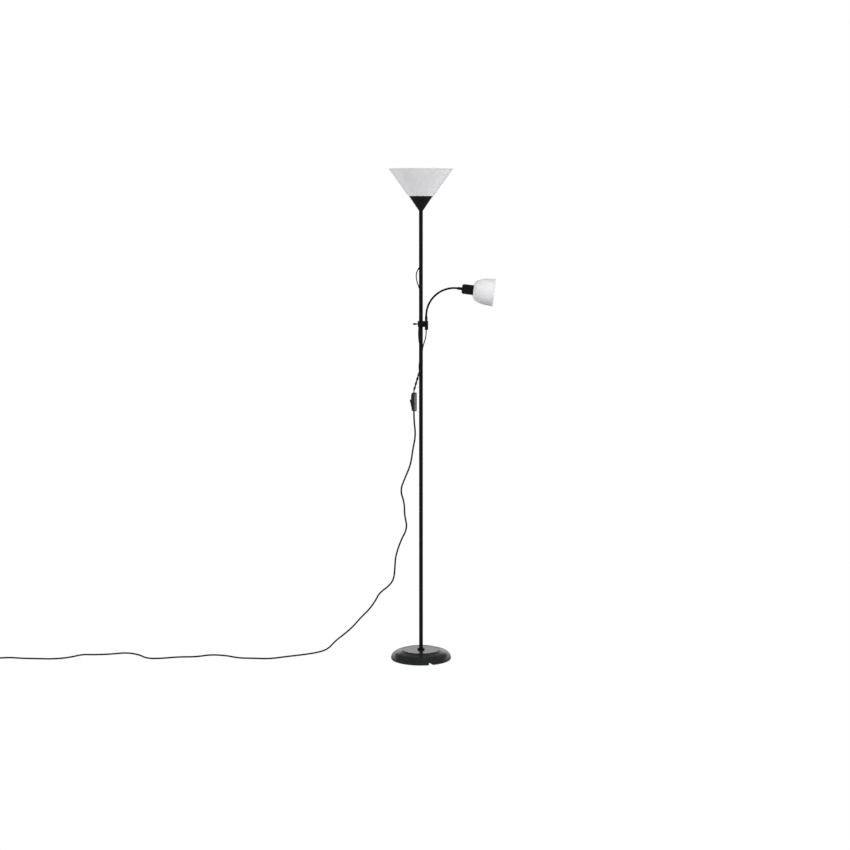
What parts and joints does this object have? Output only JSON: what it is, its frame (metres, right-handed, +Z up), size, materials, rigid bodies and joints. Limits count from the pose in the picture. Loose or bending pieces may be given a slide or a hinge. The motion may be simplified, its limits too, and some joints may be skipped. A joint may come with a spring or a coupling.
{
  "type": "torchiere floor lamp",
  "caption": "Slim black floor lamp with a conical white uplight, a gooseneck reading light on a pole clamp, an in-line switch and a mains cord.",
  "frame": {"origin": "centre of the base's underside, on the axis of the pole", "axes": "+Z up along the pole, +X towards the reading arm, +Y towards the back, where the cords run"},
  "size_m": [1.9464, 0.231, 1.78],
  "materials": {
    "satin_black_paint": "satin black powder coat",
    "neck_black": "satin black coated flexible tube",
    "base_black": "glossy black moulding",
    "black_plastic": "fine grained black",
    "screw_black": "black",
    "lampholder_plastic": "black thermoset",
    "shade_white": "frosted translucent white",
    "switch_black": "satin black",
    "rocker_black": "polished black",
    "plug_black": "moulded black",
    "cord_black": "satin black sheath",
    "grommet_rubber": "matt black",
    "liner_nylon": "natural nylon",
    "pad_foam": "black foam",
    "weight_iron": "raw casting",
    "zinc_steel": "zinc plated",
    "brass": "plain",
    "cap_metal": "plain",
    "bulb_glass": "opal white",
    "clamp_bar_plastic": "plain",
    "pin_nickel": "nickel plated"
  },
  "bodies": {
    "stand": {"base_collar": "black_plastic", "base_cover": "base_black", "base_nut": "zinc_steel", "base_pad": "pad_foam", "base_plate": "zinc_steel", "base_stud": "zinc_steel", "base_weight": "weight_iron", "cord_clamp_bars": "clamp_bar_plastic", "cord_grommet": "grommet_rubber", "inner_lead": "cord_black", "mains_cord": "cord_black", "plug_body": "plug_black", "plug_pins": "pin_nickel", "plug_strain_relief": "plug_black", "pole_nipples": "zinc_steel", "pole_tube_1": "satin_black_paint", "pole_tube_2": "satin_black_paint", "pole_tube_3": "satin_black_paint", "pole_tube_4": "satin_black_paint", "pole_tube_5": "satin_black_paint", "reading_cord_lower": "cord_black", "rocker_axle": "zinc_steel", "switch_back": "switch_black", "switch_contacts": "brass", "switch_front": "switch_black", "switch_screws": "zinc_steel", "tube_inserts": "zinc_steel", "uplight_bulb_cap": "cap_metal", "uplight_bulb_glass": "bulb_glass", "uplight_contacts": "brass", "uplight_cord": "cord_black", "uplight_cup": "satin_black_paint", "uplight_lampholder": "lampholder_plastic", "uplight_nipple": "zinc_steel", "uplight_nut": "zinc_steel", "uplight_shade": "shade_white", "uplight_shade_ring": "lampholder_plastic"},
    "clamp_slider": {"clamp_liner": "liner_nylon", "reading_cord_upper": "cord_black"},
    "clamp": {"clamp_body": "black_plastic", "neck_set_screw": "zinc_steel", "lower_ferrule": "satin_black_paint", "neck_root": "neck_black"},
    "thumb_screw": {"thumb_screw": "screw_black"},
    "neck_link_1": {"neck_link_1": "neck_black"},
    "neck_link_2": {"neck_link_2": "neck_black"},
    "neck_link_3": {"neck_link_3": "neck_black"},
    "neck_link_4": {"neck_link_4": "neck_black"},
    "reading_head": {"neck_tip": "neck_black", "upper_ferrule": "satin_black_paint", "holder_cap": "black_plastic", "holder_cup": "black_plastic", "reading_lampholder": "lampholder_plastic", "reading_contacts": "brass", "reading_bulb_cap": "cap_metal", "reading_bulb_glass": "bulb_glass", "reading_shade_ring": "lampholder_plastic", "reading_shade": "shade_white"},
    "uplight_rocker": {"uplight_rocker": "rocker_black"},
    "reading_rocker": {"reading_rocker": "rocker_black"}
  },
  "joints": [
    {"name": "clamp_height", "type": "slide", "parent": "stand", "child": "clamp_slider", "axis": [0, 0, 1], "range_m": [-0.04, 0.01], "deforming": ["reading_cord_lower"]},
    {"name": "clamp_swivel", "type": "hinge", "parent": "clamp_slider", "child": "clamp", "pos_m": [0, 0, 1.2272], "axis": [0, 0, 1], "range_deg": [-30, 50], "deforming": ["reading_cord_upper"]},
    {"name": "thumb_screw_turn", "type": "hinge", "parent": "clamp", "child": "thumb_screw", "pos_m": [-0.02, 0, 1.2272], "axis": [-1, 0, 0], "range_deg": [0, 360]},
    {"name": "neck_bend_1", "type": "hinge", "parent": "clamp", "child": "neck_link_1", "pos_m": [0.02033, 0, 1.27285], "axis": [0, 1, 0], "range_deg": [-20, 30]},
    {"name": "neck_side_2", "type": "hinge", "parent": "neck_link_1", "child": "neck_link_2", "pos_m": [0.03152, 0, 1.30463], "axis": [0.8738, 0, -0.4863], "range_deg": [-30, 30]},
    {"name": "neck_bend_3", "type": "hinge", "parent": "neck_link_2", "child": "neck_link_3", "pos_m": [0.05264, 0, 1.3309], "axis": [0, 1, 0], "range_deg": [-20, 30]},
    {"name": "neck_side_4", "type": "hinge", "parent": "neck_link_3", "child": "neck_link_4", "pos_m": [0.08128, 0, 1.34865], "axis": [0.3762, 0, -0.9265], "range_deg": [-30, 30]},
    {"name": "neck_bend_5", "type": "hinge", "parent": "neck_link_4", "child": "reading_head", "pos_m": [0.11419, 0, 1.35589], "axis": [0, 1, 0], "range_deg": [-20, 30]},
    {"name": "uplight_switch", "type": "hinge", "parent": "stand", "child": "uplight_rocker", "pos_m": [-0.0325, 0, 0.943], "axis": [0, 1, 0], "range_deg": [0, 16]},
    {"name": "reading_switch", "type": "hinge", "parent": "stand", "child": "reading_rocker", "pos_m": [-0.0325, 0, 0.943], "axis": [0, 1, 0], "range_deg": [0, 16]}
  ]
}
